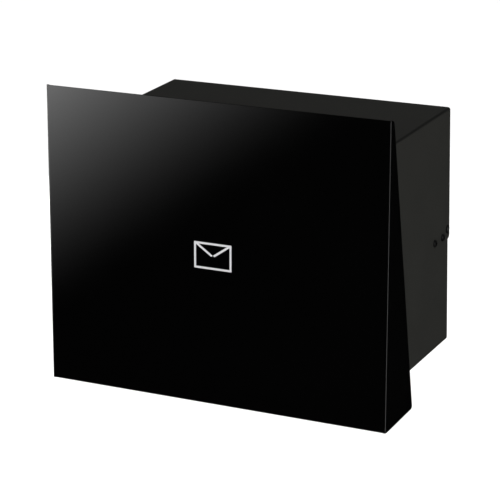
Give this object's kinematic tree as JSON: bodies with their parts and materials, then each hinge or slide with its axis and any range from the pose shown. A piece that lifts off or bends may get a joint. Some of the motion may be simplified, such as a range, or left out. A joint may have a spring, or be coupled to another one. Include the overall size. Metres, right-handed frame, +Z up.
{
  "type": "recessed mailbox",
  "caption": "Recessed wall mailbox: dark grey sheet box with a swinging gloss black front cover over the letter slot and a drop-down take-out door behind.",
  "frame": {"origin": "on the underside of the box, at mid width, in the plane of the wall face that the box is let into", "axes": "+X to the right seen from the street, +Y into the wall, +Z up"},
  "size_m": [0.4, 0.2617, 0.33],
  "materials": {
    "box_paint": "fine-grained matt dark grey powder coat on steel sheet",
    "cover_gloss": "high-gloss black paint on steel sheet",
    "zinc_plate": "bright zinc-plated steel",
    "black_screw": "black-oxide steel",
    "bumper_rubber": "soft black rubber",
    "bush_nylon": "natural nylon",
    "black_plastic": "satin black moulding",
    "ferrite": "ground ferrite magnet"
  },
  "bodies": {
    "box": {"box_shell": "box_paint", "letter_plate": "box_paint", "letter_plate_rivets": "zinc_plate", "flap_bracket_left": "box_paint", "flap_bracket_right": "box_paint", "flap_bracket_rivets": "zinc_plate", "hinge_rod": "zinc_plate", "rod_cap_left": "black_plastic", "rod_cap_right": "black_plastic", "cover_bumper_left": "bumper_rubber", "cover_bumper_right": "bumper_rubber", "pivot_plate_left": "black_screw", "pivot_plate_right": "black_screw", "pivot_plate_screws": "black_screw", "pivot_pin_left": "box_paint", "pivot_pin_right": "box_paint", "pivot_bush_left": "black_plastic", "pivot_bush_right": "black_plastic", "pivot_washer_left": "bush_nylon", "pivot_washer_right": "bush_nylon", "pivot_clip_left": "zinc_plate", "pivot_clip_right": "zinc_plate", "catch_bracket": "zinc_plate", "catch_housing": "black_plastic", "catch_magnet": "ferrite", "catch_screws": "zinc_plate", "catch_nuts": "zinc_plate"},
    "cover": {"front_cover": "cover_gloss", "cover_lug_left": "zinc_plate", "cover_lug_right": "zinc_plate", "lug_bush_left": "bush_nylon", "lug_bush_right": "bush_nylon", "lug_nuts": "zinc_plate"},
    "door": {"rear_door": "box_paint", "door_knob": "black_plastic", "knob_screw": "zinc_plate"}
  },
  "joints": [
    {"name": "cover_hinge", "type": "hinge", "parent": "box", "child": "cover", "pos_m": [0, -0.0475, 0.283], "axis": [-1, 0, 0], "range_deg": [0, 55]},
    {"name": "door_hinge", "type": "hinge", "parent": "box", "child": "door", "pos_m": [0, 0.1654, 0.131], "axis": [-1, 0, 0], "range_deg": [0, 100]}
  ]
}
